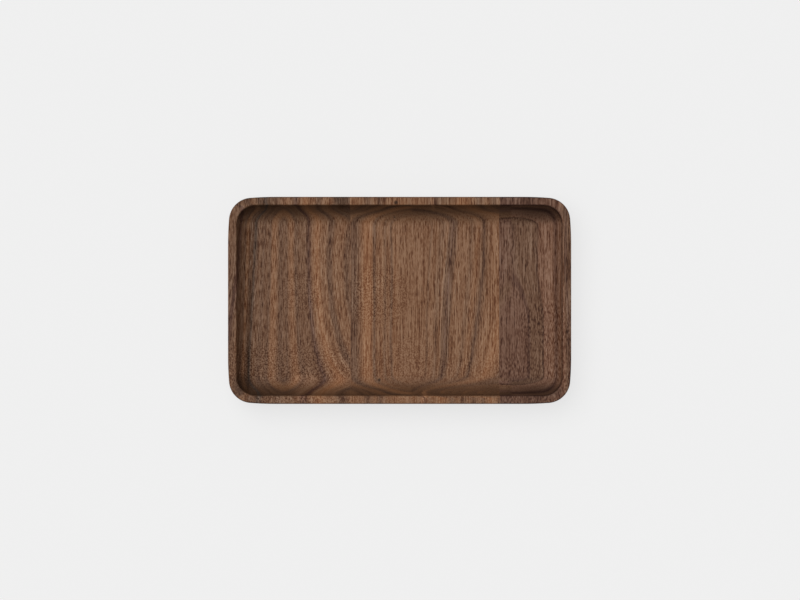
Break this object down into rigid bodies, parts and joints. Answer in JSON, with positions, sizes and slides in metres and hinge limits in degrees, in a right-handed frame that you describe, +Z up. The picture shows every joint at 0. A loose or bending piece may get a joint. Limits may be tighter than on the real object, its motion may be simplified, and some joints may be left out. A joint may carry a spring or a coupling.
{
  "type": "pen tray",
  "caption": "Low rectangular walnut tray with round corners and a coved hollow, standing on small rubber feet, for pens and other small things on a desk.",
  "frame": {"origin": "on the desk, under the middle of the tray", "axes": "+X along the tray, towards its narrowest board; +Y along the grain, towards the back; +Z up"},
  "size_m": [0.2, 0.1208, 0.02],
  "materials": {
    "left_walnut": "satin oil",
    "middle_walnut": "satin oil",
    "right_walnut": "satin oil",
    "foot_rubber": "matte"
  },
  "bodies": {
    "root": {"left_board": "left_walnut", "middle_board": "middle_walnut", "right_board": "right_walnut", "foot_front_left": "foot_rubber", "foot_front_right": "foot_rubber", "foot_back_left": "foot_rubber", "foot_back_right": "foot_rubber"}
  },
  "joints": []
}
